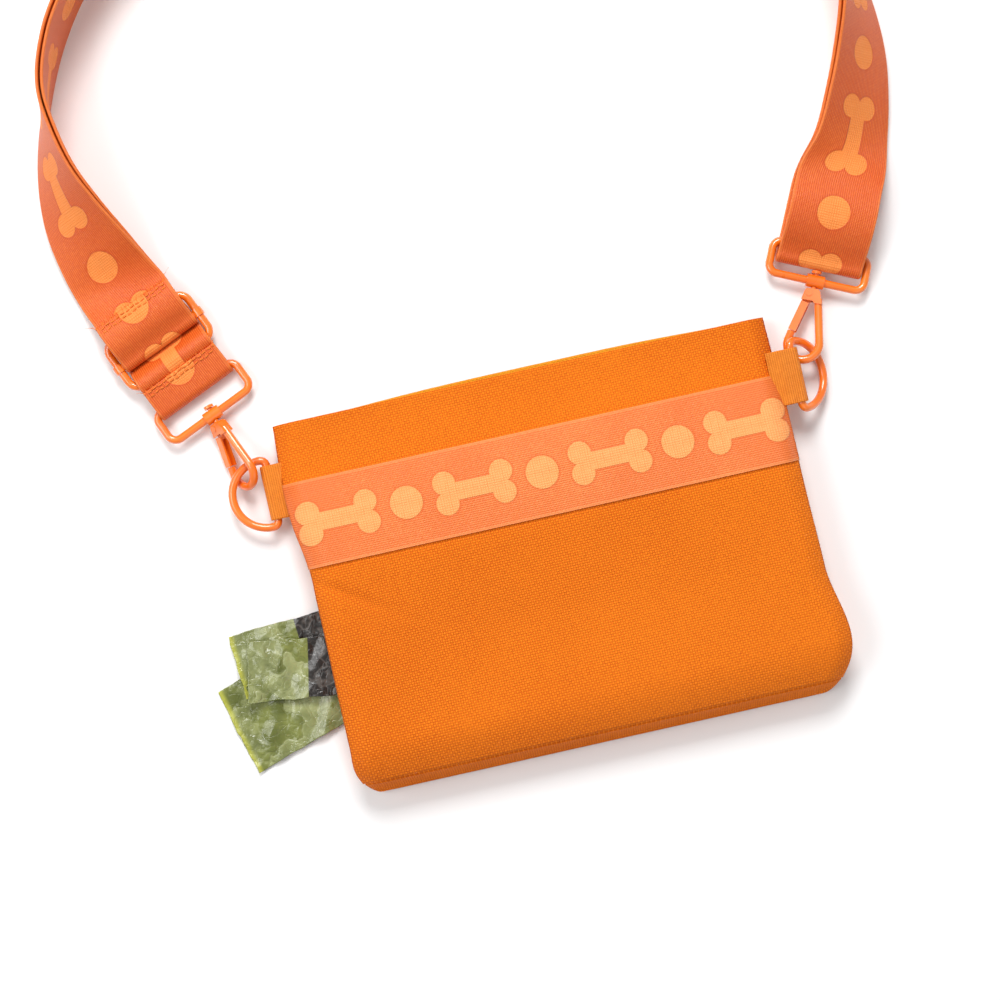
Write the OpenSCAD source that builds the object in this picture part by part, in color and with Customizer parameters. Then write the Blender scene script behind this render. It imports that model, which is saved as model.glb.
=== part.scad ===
// Treat pouch with a waste-bag dispenser and a clip-on webbing strap.
// The pouch lies on its back: X across it, Y towards its mouth, Z out of its front.
// The origin is the centre of its flat back face.

/* [Pouch] */
// Width of the pouch at its mouth
mouth_w = 219; // [214:1:222]
// Width across the bottom corners
base_w = 223; // [214:1:228]
// Height from the bottom fold to the mouth
pouch_h = 167; // [165:0.5:170]
// Cut across each bottom corner
corner_cut = 11; // [6:1:14]
// Thickness where the bag roll lies
pouch_t = 26; // [26:0.5:30]
// Thickness at the closed mouth
mouth_t = 12; // [12:0.5:14]
// Thickness of the shell fabric
cloth_t = 1.4; // [1.2:0.1:1.4]
// Thickness of the lining
lining_t = 0.5; // [0.4:0.1:0.6]
// Depth of the facing folded inside each hem
facing_h = 24; // [18:1:28]
// Diameter of the closing magnets
magnet_d = 12; // [10:1:14]

/* [Webbing] */
// Width of the strap and of the band on the front
webbing_w = 38; // [36:1:38]
// Thickness of the webbing
webbing_t = 1.4; // [1.2:0.1:1.4]
// Width of the side tabs
tab_w = 24; // [20:1:24]

/* [Hardware] */
// Diameter of the D-ring wire
d_wire = 3.6; // [3:0.1:3.6]
// Diameter of the wire of the strap rings and the slider
ring_wire = 3.5; // [3:0.1:3.5]
// Diameter of the hook's wire
hook_wire = 3.6; // [3.2:0.1:3.6]
// Distance across the hook between its two sides, on the wire's centre lines
hook_w = 14; // [13.6:0.1:14]

/* [Dispenser] */
// Diameter of the roll of waste bags
roll_d = 19; // [15:0.5:19]
// Length of the roll
roll_l = 60; // [50:1:60]

/* [Hidden] */
$fn = 48;

LEFT = 0;
RIGHT = 1;
y_top = pouch_h / 2;
y_bottom = -pouch_h / 2;
// The front wall hinges here, above the bottom gusset
y_hinge = y_bottom + 7;
crest_low = y_bottom + 25.5;
crest_high = 10;
lower_drop = 7;
// Clearance between soft parts that move apart
play = 0.4;
// Band along the front
band_y = 19;
magnet_t = 1.5;
magnet_x = 42;
facing_t = 2;

// Height of the front's outer face at distance y up the pouch
function ease(t) = t * t * (3 - 2 * t);
function front_curve(y) =
    y < crest_low ? pouch_t - lower_drop * pow((crest_low - y) / (crest_low - y_hinge), 2)
    : y < crest_high ? pouch_t
    : pouch_t - (pouch_t - mouth_t) * ease((y - crest_high) / (y_top - crest_high));

// Every layer of the front bends at the same stations
stations = [for (k = [0 : 40]) y_hinge + (y_top - y_hinge) * k / 40];
front_at = [for (y = stations) [y, front_curve(y)]];
function front_z(y) = lookup(y, front_at);
function between(y0, y1) = concat([y0], [for (y = stations) if (y > y0 + 0.01 && y < y1 - 0.01) y], [y1]);

// The pouch's outline seen from the front, drawn in by i all round
module outline(i = 0) {
    mouth = mouth_w / 2 - i;
    base = base_w / 2 - i;
    polygon([[-mouth, y_top], [-base, y_bottom + corner_cut],
             [corner_cut - base, y_bottom + i], [base - corner_cut, y_bottom + i],
             [base, y_bottom + corner_cut], [mouth, y_top]]);
}

// A layer that follows the front from y0 to y1, between two depths below its outer face
module front_layer(y0, y1, depth0, depth1, w = 260) {
    ys = between(y0, y1);
    translate([-w / 2, 0, 0]) rotate([90, 0, 90]) linear_extrude(w)
        polygon(concat([for (y = ys) [y, front_z(y) - depth0]],
                       [for (k = [len(ys) - 1 : -1 : 0]) [ys[k], front_z(ys[k]) - depth1]]));
}

// Everything inside the pouch between its back and a depth below the front's outer face
module inside(y0, y1, depth, floor_z) {
    ys = between(y0, y1);
    translate([-130, 0, 0]) rotate([90, 0, 90]) linear_extrude(260)
        polygon(concat([[y1, floor_z], [y0, floor_z]], [for (y = ys) [y, front_z(y) - depth]]));
}

module prism(i = 0, h = 60) { linear_extrude(h) outline(i); }

module back_panel() {
    color("darkorange") linear_extrude(cloth_t) outline();
}

module front_panel() {
    color("darkorange") intersection() {
        front_layer(y_hinge, y_top, 0, cloth_t);
        prism();
    }
}

// The strip that turns the bottom corner, under the front wall's hinge line
module bottom_gusset() {
    top = front_z(y_hinge) - cloth_t;
    lip = y_hinge - play;
    color("darkorange") intersection() {
        translate([-130, 0, 0]) rotate([90, 0, 90]) linear_extrude(260) difference() {
            polygon([[y_bottom, cloth_t], [y_bottom, top - 8], [y_bottom + 2, top - 3],
                     [lip, top], [lip + 4, top], [lip + 4, cloth_t]]);
            polygon([[y_bottom + cloth_t, 0], [y_bottom + cloth_t, top - 8.4],
                     [y_bottom + 2 + cloth_t, top - 4], [lip, top - cloth_t],
                     [lip + 5, top - cloth_t], [lip + 5, 0]]);
        }
        prism();
    }
}

module gusset() {
    seam = 0.6;
    difference() {
        intersection() {
            inside(y_hinge + 4, y_top, cloth_t + play, cloth_t);
            prism(seam);
        }
        translate([0, 0, -1]) prism(seam + cloth_t);
        translate([0, -150, -1]) cube([150, 300, 60]);
    }
}

module gusset_left() {
    color("darkorange") difference() {
        gusset();
        // The slot that the bags are pulled through
        translate([-125, -53, cloth_t + lining_t]) cube([30, 57, 4.6]);
    }
}

module gusset_right() { color("darkorange") mirror([1, 0, 0]) gusset(); }

module magnet_seats(z, h) {
    for (x = [-magnet_x, magnet_x]) translate([x, y_top - facing_h / 2, z])
        cylinder(d = magnet_d + 0.2, h = h);
}

module facing_back() {
    color("orange") difference() {
        intersection() {
            translate([-130, y_top - facing_h, cloth_t]) cube([260, facing_h, facing_t]);
            prism(3);
        }
        magnet_seats(cloth_t + 0.2, magnet_t + 0.2);
    }
}

// The front's hem slopes, so its magnets sit square to its middle
hem_y = y_top - facing_h / 2;
hem_slope = atan((front_z(hem_y + 4) - front_z(hem_y - 4)) / 8);
module at_front_magnet(x) {
    translate([x, hem_y, front_z(hem_y) - cloth_t - facing_t / 2]) rotate([hem_slope, 0, 0])
        children();
}

module facing_front() {
    color("orange") difference() {
        intersection() {
            front_layer(y_top - facing_h, y_top, cloth_t, cloth_t + facing_t + 0.6);
            prism(3);
        }
        for (x = [-magnet_x, magnet_x]) at_front_magnet(x)
            cylinder(d = magnet_d + 0.2, h = magnet_t + 0.2, center = true);
    }
}

module magnets_back() {
    color("silver") for (x = [-magnet_x, magnet_x])
        translate([x, hem_y, cloth_t + 0.3]) cylinder(d = magnet_d, h = magnet_t);
}

module magnets_front() {
    color("silver") for (x = [-magnet_x, magnet_x]) at_front_magnet(x)
        cylinder(d = magnet_d, h = magnet_t, center = true);
}

module lining_back() {
    color("gold") intersection() {
        translate([-130, y_hinge + 5, cloth_t]) cube([260, y_top - facing_h - y_hinge - 5, lining_t]);
        prism(3);
    }
}

module lining_front() {
    color("gold") intersection() {
        front_layer(y_hinge + 5, y_top - facing_h, cloth_t, cloth_t + lining_t);
        prism(3);
    }
}

module webbing_band() {
    color("tomato") intersection() {
        front_layer(band_y, band_y + webbing_w, -webbing_t, 0);
        translate([-110.4, -100, 0]) cube([220.8, 200, 60]);
    }
}

// Dispenser: a pocket beside the left gusset, open towards its slot
roll_x = -90.5;
roll_y = -25;
roll_z = cloth_t + lining_t + 0.5 + roll_d / 2;
pocket_w = 24.5;
pocket_h = roll_d + 1.8;
pocket_wall = 0.6;
module dispenser_pocket() {
    len = roll_l + 7;
    color("gold") translate([roll_x - 13, roll_y - len / 2, cloth_t + lining_t]) difference() {
        cube([pocket_w, len, pocket_h]);
        translate([-1, pocket_wall, -1])
            cube([pocket_w + 1 - pocket_wall, len - 2 * pocket_wall, pocket_h + 1 - pocket_wall]);
    }
}

core_d = 7;
module along_roll(len) { translate([roll_x, roll_y - len / 2, roll_z]) rotate([-90, 0, 0]) children(); }

module bag_roll() {
    color("olivedrab") along_roll(roll_l) difference() {
        cylinder(d = roll_d, h = roll_l);
        translate([0, 0, -1]) cylinder(d = core_d, h = roll_l + 2);
    }
}

module roll_core() {
    core_wall = 0.8;
    color("tan") along_roll(roll_l) difference() {
        cylinder(d = core_d, h = roll_l);
        translate([0, 0, -1]) cylinder(d = core_d - 2 * core_wall, h = roll_l + 2);
    }
}

// Three bag ends that hang out through the slot. The middle one lies on the upper one, and that
// on the lower one.
film_t = 0.5;
module bag_tail(z, corners) { translate([0, 0, z]) linear_extrude(film_t) polygon(corners); }

module bag_tail_upper() {
    color("yellowgreen") bag_tail(3.8, [[-150, -2.3], [-102, 0.6], [-102, -28], [-148, -31]]);
}
module bag_tail_middle() {
    color("olive") bag_tail(5.2, [[-142.4, -6], [-102, -12], [-102, -38], [-147.5, -32.7]]);
}
module bag_tail_lower() {
    color("olivedrab") bag_tail(2.4, [[-160.2, -25.4], [-102, -4.6], [-102, -46.8], [-150, -63.9]]);
}

// D-rings: each has a straight bar held in a tab, and a bow
d_x = 117;
d_y = 55.3;
d_r = 14.8;
d_corner = 2.6;
d_bar_z = [7, 13.2];
d_tilt = [0, -40];
way = [-1, 1];

module wire_arc(r, wire, a) {
    rotate_extrude(angle = a) translate([r, 0]) circle(d = wire);
}
module wire_bar(len, wire) { rotate([-90, 0, 0]) cylinder(d = wire, h = len, center = true); }

module at_d_ring(side) {
    translate([way[side] * d_x, d_y, d_bar_z[side]]) rotate([0, -way[side] * d_tilt[side], 0])
        mirror([side == LEFT ? 1 : 0, 0, 0]) children();
}

module d_ring(side) {
    straight = d_r - d_corner;
    at_d_ring(side) {
        wire_bar(2 * straight, d_wire);
        translate([d_corner, straight, 0]) rotate([0, 0, 90]) wire_arc(d_corner, d_wire, 90);
        translate([d_corner, -straight, 0]) rotate([0, 0, 180]) wire_arc(d_corner, d_wire, 90);
        translate([d_corner, 0, 0]) rotate([0, 0, -90]) wire_arc(d_r, d_wire, 180);
    }
}

// A loop of ribbed webbing round the D-ring's bar, with its two ends at the side seam
tab_t = 1;
module tab(side) {
    bore_r = d_wire / 2 + 0.2;
    seam_x = mouth_w / 2 + 1.1;
    run = d_x - seam_x;
    translate([way[side] * d_x, d_y + tab_w / 2, d_bar_z[side]]) rotate([90, 0, 0])
        mirror([side == LEFT ? 1 : 0, 0, 0]) linear_extrude(tab_w) difference() {
            union() {
                circle(r = bore_r + tab_t);
                translate([-run, -bore_r - tab_t]) square([run, 2 * (bore_r + tab_t)]);
            }
            circle(r = bore_r);
            translate([-run - 1, -bore_r]) square([run + 1, 2 * bore_r]);
        }
}

// Strap rings, each with a swivel boss on the bar nearer the pouch
boss = [[-135.1, 94.2, 4.75], [135.2, 93.7, 5.25]];
ring_turn = [23.5, -25];
ring_pitch = [4.4, 5.8];
hook_yaw = [-7.5, 1];
hook_roll = [48, 14];
ring_w = 42.5;
ring_gap = 14.7;
ring_corner = 4;
boss_d = 5.8;
boss_l = 7.8;
boss_bore = 3.4;

module at_ring(side) {
    translate(boss[side]) rotate([0, 0, ring_turn[side] - 90]) rotate([0, -ring_pitch[side], 0])
        children();
}
module at_hook(side) {
    at_ring(side) rotate([0, 0, hook_yaw[side]]) rotate([hook_roll[side], 0, 0]) children();
}

// A rectangle of round wire: l along X and w along Y, on the wire's centre line
module wire_rectangle(l, w, corner, wire) {
    for (s = [-1, 1]) {
        translate([s * l / 2, 0, 0]) wire_bar(w - 2 * corner, wire);
        translate([0, s * w / 2, 0]) rotate([0, 0, 90]) wire_bar(l - 2 * corner, wire);
    }
    for (q = [0 : 3]) {
        sx = (q == 0 || q == 3) ? 1 : -1;
        sy = q < 2 ? 1 : -1;
        translate([sx * (l / 2 - corner), sy * (w / 2 - corner), 0]) rotate([0, 0, 90 * q])
            wire_arc(corner, wire, 90);
    }
}

module strap_ring(side) {
    at_ring(side) difference() {
        union() {
            translate([-ring_gap / 2, 0, 0]) wire_rectangle(ring_gap, ring_w, ring_corner, ring_wire);
            wire_bar(boss_l, boss_d);
        }
        rotate([0, 90, 0]) cylinder(d = boss_bore, h = 20, center = true);
    }
}

// Hook: a swivel stud, a forked head, a straight side, a bend and a nose
bend_r = hook_w / 2;
bend_x = 28.2;
side_slope = 12;
side_end = bend_x - bend_r * sin(side_slope);
head_start = 3.7;
head_end = 9;
head_t = 4.8;
fork_t = 2.6;
pin_at = [5.6, -1.3];
pin_d = 1.6;
nose_start = 23.4;
// The bend is a little thicker than the sides, which run into it
bend_wire = hook_wire + 0.1;
bend_lap = 0.3;
stud_d = 2.3;
tip_at = [23.1, -5.9];

// A straight wire in the hook's plane, between two places along its axis
module side_wire(x0, x1, s) {
    run = (x1 - x0) / cos(side_slope);
    translate([side_end, s * bend_r * cos(side_slope), 0]) rotate([0, 0, s * side_slope])
        translate([(x0 - side_end) / cos(side_slope), 0, 0]) rotate([0, 90, 0])
            cylinder(d = hook_wire, h = run);
}

module hook(side) {
    at_hook(side) {
        rotate([0, 90, 0]) translate([0, 0, -4.5]) cylinder(d = stud_d, h = 4.5 + head_start);
        rotate([0, 90, 0]) translate([0, 0, -4.6]) cylinder(d = 4.4, h = 1.2);
        difference() {
            union() {
                translate([0, 0, -head_t / 2]) linear_extrude(head_t)
                    polygon([[head_start, -2.7], [head_start, 2.4], [4.6, 3.3], [head_end + 1, 4.9],
                             [head_end + 1, 1.6], [head_end, 0.9], [head_end, -4.3],
                             [head_start + 1.2, -3.4]]);
                side_wire(7.5, side_end + bend_lap, 1);
            }
            translate([4, -6, -fork_t / 2]) cube([head_end - 4 + 0.01, 7.1, fork_t]);
            translate([pin_at.x, pin_at.y, -5]) cylinder(d = pin_d + 0.1, h = 10);
        }
        translate([bend_x, 0, 0]) rotate([0, 0, side_slope - 90 - 2 * side_slope])
            wire_arc(bend_r, bend_wire, 180 + 2 * side_slope);
        side_wire(nose_start, side_end + bend_lap, -1);
    }
}

// Gate: a channel with a tongue that turns on the pin inside the fork
gate_slope = atan2(tip_at.y - pin_at.y, tip_at.x - pin_at.x);
gate_l = norm(tip_at - pin_at);
tongue_t = 1.5;
module gate(side) {
    at_hook(side) translate([pin_at.x, pin_at.y, 0]) rotate([0, 0, gate_slope]) difference() {
        union() {
            translate([0, 0, -1.15]) cylinder(d = 3, h = tongue_t);
            translate([0, -1.7, -1.15]) cube([5, 3.4, tongue_t]);
            translate([4.4, -1.7, -1.9]) cube([gate_l - 4.4, 3.4, 3.8]);
        }
        translate([5.6, -0.8, -1.1]) cube([gate_l, 3.4, 2.2]);
        translate([0, 0, -5]) cylinder(d = pin_d + 0.1, h = 10);
    }
}

module gate_pin(side) {
    at_hook(side) translate([pin_at.x, pin_at.y, 0]) {
        cylinder(d = pin_d, h = head_t + 0.1, center = true);
        for (s = [-1, 1]) translate([0, 0, s * (head_t / 2 + 0.15)])
            cylinder(d = 3.2, h = 0.3, center = true);
    }
}

// The small coil that holds the gate shut, beside the tongue
module gate_spring(side) {
    at_hook(side) translate([pin_at.x, pin_at.y, 0.55]) {
        difference() {
            cylinder(d = 3, h = 0.55);
            translate([0, 0, -1]) cylinder(d = pin_d + 0.2, h = 3);
        }
        rotate([0, 0, gate_slope]) translate([1.1, -0.9, 0]) cube([2.2, 0.5, 0.55]);
    }
}

// Strap: the left ring's bar, the slider and the loop. Directions run along the strap.
function turn(a) = [cos(a), sin(a), 0];
bar_at = [for (k = [LEFT, RIGHT]) boss[k] - ring_gap * cos(ring_pitch[k]) * turn(ring_turn[k] - 90)
                                  - [0, 0, ring_gap * sin(ring_pitch[k])]];
along = [for (k = [LEFT, RIGHT]) turn(ring_turn[k] + 90)];
inward = [turn(ring_turn[LEFT]), -turn(ring_turn[RIGHT])];
slider_s = 25.5;
slider_z = 5.5;
slider_gap = 23.5;

module at_slider() {
    translate([bar_at[LEFT].x, bar_at[LEFT].y, slider_z]) rotate([0, 0, ring_turn[LEFT] + 90])
        translate([slider_s, 0, 0]) children();
}

module slider_frame() {
    color("darkorange") at_slider() wire_rectangle(slider_gap, ring_w, 5, ring_wire);
}

module slider_bar() {
    color("darkorange") at_slider() difference() {
        union() {
            wire_bar(ring_w, ring_wire);
            for (s = [-1, 1]) translate([-1.8, s * ring_w / 2, 0]) rotate([0, 90, 0])
                cylinder(d = 4.8, h = 3.6);
        }
        for (s = [-1, 1]) translate([-10, s * ring_w / 2, 0]) rotate([0, 90, 0])
            cylinder(d = ring_wire + 0.1, h = 20);
    }
}

// A stop on the strap is [centre, direction across its width]
function stop(side, s, z) = [[bar_at[side].x, bar_at[side].y, z] + s * along[side], inward[side]];
function stops(side, route) = [for (p = route) stop(side, p[0], p[1])];
fold_r = ring_wire / 2 + webbing_t / 2 + 0.3;
function fold(side, s, z, r, from, to, steps = 6) =
    [for (k = [0 : steps]) stop(side, s + r * cos(from + (to - from) * k / steps),
                                z + r * sin(from + (to - from) * k / steps))];

// The loop's middle: x, y and how far it has turned from flat towards standing on edge
loop_a = 176;
loop_b = 122;
loop_y = 225;
loop_mid = concat(
    [[-163.5, 158.5, 10], [-169.8, 175, 27], [-174.6, 191, 42], [-177.2, 208, 58],
     [-177, 226, 72], [-174.6, 243, 84]],
    [for (a = [20 : 14 : 160]) [-loop_a * cos(a), loop_y + loop_b * sin(a), 90]],
    [[174.6, 243, 84], [177, 226, 74], [177, 206, 62], [174.5, 187, 50], [169.5, 168, 40],
     [163, 150, 29]]);
layer_gap = 1.1;
function unit(v) = v / norm(v);
function loop_stop(k, off) =
    let (last = len(loop_mid) - 1, a = loop_mid[max(k - 1, 0)], b = loop_mid[min(k + 1, last)],
         m = loop_mid[k], t = unit([b.x - a.x, b.y - a.y, 0]), inner = [t.y, -t.x, 0],
         up = [0, 0, 1], across = inner * cos(m.z) + up * sin(m.z),
         out = up * cos(m.z) - inner * sin(m.z),
         rise = webbing_w / 2 * sin(m.z) + 0.9 + layer_gap)
    [[m.x, m.y, rise] + out * off, across];
loop_count = len(loop_mid);

strap_route = concat(
    // The end sewn round the left ring
    stops(LEFT, [[10.5, 8.3], [5, 7.5]]),
    fold(LEFT, -0.4, bar_at[LEFT].z, fold_r + 0.25, 90, 270),
    // Over the slider's near bar, under its middle bar, over its far bar
    stops(LEFT, [[3, 1.1], [6.5, 2.8], [9.6, 5.6], [11.8, 8.1], [13.75, 8.9], [16, 8.3], [19, 5.4],
                 [22, 2.3], [25.5, 0.95], [29, 2], [31.6, 4.4], [34, 7.3], [35.8, 8.6],
                 [37.5, 8.9], [41, 7.9], [47, 4.2]]),
    [for (k = [0 : loop_count - 1]) loop_stop(k, -layer_gap)],
    // Under the right ring's bar, a loose fold, and back in a hump over it
    stops(RIGHT, [[27, 2.4], [18, 1.2], [9, 0.95], [0, 0.95], [-4.5, 1.2]]),
    fold(RIGHT, -5.5, 4.9, 3.4, 270, 90),
    stops(RIGHT, [[-2, 10.2], [3, 14], [10, 17.5], [18, 18.4], [27, 16]]),
    [for (k = [loop_count - 1 : -1 : 0]) loop_stop(k, layer_gap)],
    // Round the slider's middle bar, and sewn back on itself
    stops(LEFT, [[47, 7.6], [41, 10.4], [38, 11], [35.6, 10.7], [33, 9], [30.8, 6.4], [28.6, 3.9]]),
    fold(LEFT, slider_s, slider_z, fold_r, 270, 90),
    stops(LEFT, [[28.2, 9.6], [31, 11.6], [34.5, 12.9], [38, 13.1], [45, 11.2]]));

// Smooth curve through the stops, with some steps between each pair. Each stop's slope favours
// its nearer neighbour, so that close stops beside far ones don't make the curve overshoot.
function pace(a, b) = max(norm(b[0] - a[0]), 0.0001);
function slope(a, b, c, e) =
    let (p = pace(a, b), q = pace(b, c)) ((b[e] - a[e]) / p * q + (c[e] - b[e]) / q * p) / (p + q);
function curve(a, b, c, d, e, t) =
    let (q = pace(b, c), u = 1 - t)
    (1 + 2 * t) * u * u * b[e] + t * u * u * q * slope(a, b, c, e)
        + t * t * (3 - 2 * t) * c[e] - t * t * u * q * slope(b, c, d, e);
function smooth(route, steps) =
    let (last = len(route) - 1)
    concat([for (k = [0 : last - 1], j = [0 : steps - 1])
        let (a = route[max(k - 1, 0)], b = route[k], c = route[k + 1], d = route[min(k + 2, last)])
        [for (e = [0, 1]) curve(a, b, c, d, e, j / steps)]], [route[last]]);

module ribbon(route, w, t) {
    last = len(route) - 1;
    corners = [for (k = [0 : last])
        let (ahead = route[min(k + 1, last)][0] - route[max(k - 1, 0)][0], across = unit(route[k][1]),
             face = unit(cross(ahead, across)), c = route[k][0])
        for (q = [[1, 1], [-1, 1], [-1, -1], [1, -1]])
            c + across * q[0] * w / 2 + face * q[1] * t / 2];
    walls = [for (k = [0 : last - 1], q = [0 : 3])
        let (n = (q + 1) % 4, a = 4 * k + q, b = 4 * k + n, c = a + 4, d = b + 4)
        each [[a, c, b], [b, c, d]]];
    polyhedron(corners, concat(walls, [[0, 1, 2], [0, 2, 3],
        [4 * last + 2, 4 * last + 1, 4 * last], [4 * last + 3, 4 * last + 2, 4 * last]]));
}

module strap_webbing() { color("orangered") ribbon(smooth(strap_route, 2), webbing_w, webbing_t); }

back_panel();
front_panel();
bottom_gusset();
gusset_left();
gusset_right();
facing_back();
facing_front();
lining_back();
lining_front();
webbing_band();
magnets_back();
magnets_front();
dispenser_pocket();
bag_roll();
roll_core();
bag_tail_upper();
bag_tail_middle();
bag_tail_lower();
color("orange") tab(LEFT);  // tab_left
color("orange") tab(RIGHT);  // tab_right
color("darkorange") d_ring(LEFT);  // d_ring_left
color("darkorange") d_ring(RIGHT);  // d_ring_right
color("darkorange") strap_ring(LEFT);  // strap_ring_left
color("darkorange") strap_ring(RIGHT);  // strap_ring_right
color("darkorange") hook(LEFT);  // hook_left
color("darkorange") hook(RIGHT);  // hook_right
color("darkorange") gate(LEFT);  // gate_left
color("darkorange") gate(RIGHT);  // gate_right
color("darkorange") gate_pin(LEFT);  // gate_pin_left
color("darkorange") gate_pin(RIGHT);  // gate_pin_right
color("silver") gate_spring(LEFT);  // gate_spring_left
color("silver") gate_spring(RIGHT);  // gate_spring_right
slider_frame();
slider_bar();
strap_webbing();
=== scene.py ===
import math

import bpy
import mathutils
import numpy as np
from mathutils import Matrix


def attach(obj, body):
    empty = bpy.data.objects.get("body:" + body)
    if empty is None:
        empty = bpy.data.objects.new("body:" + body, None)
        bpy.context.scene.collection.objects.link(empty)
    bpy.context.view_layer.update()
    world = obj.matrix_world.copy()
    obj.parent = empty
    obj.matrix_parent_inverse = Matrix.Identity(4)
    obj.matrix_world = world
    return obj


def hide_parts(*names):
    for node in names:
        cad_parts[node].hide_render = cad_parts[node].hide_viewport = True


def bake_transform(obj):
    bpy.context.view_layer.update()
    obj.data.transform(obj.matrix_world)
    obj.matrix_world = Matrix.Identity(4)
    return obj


# The treat pouch lies on its back. X runs across it, Y towards its mouth and Z out of its front.
# Shapes are worked out in millimetres and put into the meshes in metres.

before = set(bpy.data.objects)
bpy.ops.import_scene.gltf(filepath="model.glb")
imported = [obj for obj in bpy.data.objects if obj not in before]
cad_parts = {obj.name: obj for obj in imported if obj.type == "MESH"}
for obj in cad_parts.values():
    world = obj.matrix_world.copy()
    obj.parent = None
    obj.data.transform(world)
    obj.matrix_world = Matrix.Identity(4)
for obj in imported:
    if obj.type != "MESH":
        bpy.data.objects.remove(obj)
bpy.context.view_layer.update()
MM = 0.001


# ---------------------------------------------------------------- meshes

def add_piece(name, points, faces, uv, finish, smooth=True):
    """A mesh of points in millimetres, with one texture coordinate per point, also in millimetres."""
    mesh = bpy.data.meshes.new(name)
    mesh.from_pydata((np.asarray(points) * MM).tolist(), [], faces)
    corners = np.empty(len(mesh.loops), dtype=np.int32)
    mesh.loops.foreach_get("vertex_index", corners)
    layer = mesh.uv_layers.new(name="cloth")
    layer.data.foreach_set("uv", (np.asarray(uv)[corners] * MM).astype(np.float32).ravel())
    mesh.polygons.foreach_set("use_smooth", np.full(len(mesh.polygons), smooth))
    mesh.materials.append(finish)
    mesh.update()
    piece = bpy.data.objects.new(name, mesh)
    bpy.context.scene.collection.objects.link(piece)
    return piece


def unit(v):
    return v / np.maximum(np.linalg.norm(v, axis=-1, keepdims=True), 1e-9)


def quads(rows, cols, start=0, wrap=False):
    """Faces of a grid of points numbered row by row; wrap joins the last column to the first."""
    i, j = np.meshgrid(np.arange(rows - 1), np.arange(cols if wrap else cols - 1), indexing="ij")
    k = (j + 1) % cols
    a, b, c, d = i * cols + j, (i + 1) * cols + j, (i + 1) * cols + k, i * cols + k
    return (np.stack([a, b, c, d], -1).reshape(-1, 4) + start).tolist()


def grid_normals(p):
    """Unit normals of a grid: the cross product of its two directions of travel."""
    return unit(np.cross(np.gradient(p, axis=0), np.gradient(p, axis=1)))


def thick_sheet(name, p, uv, thickness, finish):
    """Cloth: the grid p is its outer face, and its inner face lies a thickness behind along the normal."""
    rows, cols = p.shape[:2]
    inner = p - grid_normals(p) * thickness
    count = rows * cols
    points = np.concatenate([p.reshape(-1, 3), inner.reshape(-1, 3)])
    faces = quads(rows, cols) + [f[::-1] for f in quads(rows, cols, count)]
    index = np.arange(count).reshape(rows, cols)
    rim = np.concatenate([index[0, :-1], index[:-1, -1], index[-1, :0:-1], index[:0:-1, 0]])
    after = np.roll(rim, -1)
    faces += np.stack([rim, after, after + count, rim + count], -1).tolist()
    flat_uv = uv.reshape(-1, 2)
    return add_piece(name, points, faces, np.concatenate([flat_uv, flat_uv]), finish)


def sweep(name, path, across, profile, finish):
    """A closed profile, as (across, out) pairs, carried along a path; out is travel crossed with across."""
    travel = np.gradient(path, axis=0)
    out = unit(np.cross(travel, across))
    side = unit(across)
    points = path[:, None] + side[:, None] * profile[None, :, :1] + out[:, None] * profile[None, :, 1:]
    rows, cols = points.shape[:2]
    length = np.concatenate([[0], np.cumsum(np.linalg.norm(np.diff(path, axis=0), axis=1))])
    uv = np.stack(np.broadcast_arrays(length[:, None], profile[None, :, 0]), -1).reshape(-1, 2)
    i, j = np.meshgrid(np.arange(rows - 1), np.arange(cols), indexing="ij")
    k = (j + 1) % cols
    faces = np.stack([i * cols + j, i * cols + k, (i + 1) * cols + k, (i + 1) * cols + j], -1)
    faces = faces.reshape(-1, 4).tolist()
    faces += [list(range(cols))[::-1], list(range((rows - 1) * cols, rows * cols))]
    return add_piece(name, points.reshape(-1, 3), faces, uv, finish), length[-1]


def through(x, xs, ys):
    """A smooth curve through a few points: Catmull-Rom slopes joined by cubic Hermite pieces."""
    xs, ys = np.asarray(xs, float), np.asarray(ys, float)
    slope = np.gradient(ys, xs)
    x = np.clip(x, xs[0], xs[-1])
    k = np.clip(np.searchsorted(xs, x, side="right") - 1, 0, len(xs) - 2)
    h = xs[k + 1] - xs[k]
    t = (x - xs[k]) / h
    return ((1 + 2 * t) * (1 - t) ** 2 * ys[k] + t * (1 - t) ** 2 * h * slope[k]
            + t * t * (3 - 2 * t) * ys[k + 1] + t * t * (t - 1) * h * slope[k + 1])


def ease(t):
    t = np.clip(t, 0, 1)
    return t * t * (3 - 2 * t)


def ripple(x, y, seed, waves=7, shortest=9.0, longest=60.0):
    """Gentle unevenness from -1 to 1: a sum of sine waves in seeded directions."""
    rng = np.random.default_rng(seed)
    total = np.zeros(np.broadcast(x, y).shape)
    for size in np.geomspace(longest, shortest, waves):
        angle, phase = rng.uniform(0, 2 * math.pi, 2)
        total += size * np.sin((x * math.cos(angle) + y * math.sin(angle)) * 2 * math.pi / size + phase)
    return total / np.geomspace(longest, shortest, waves).sum()


# ---------------------------------------------------------------- finishes

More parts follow.
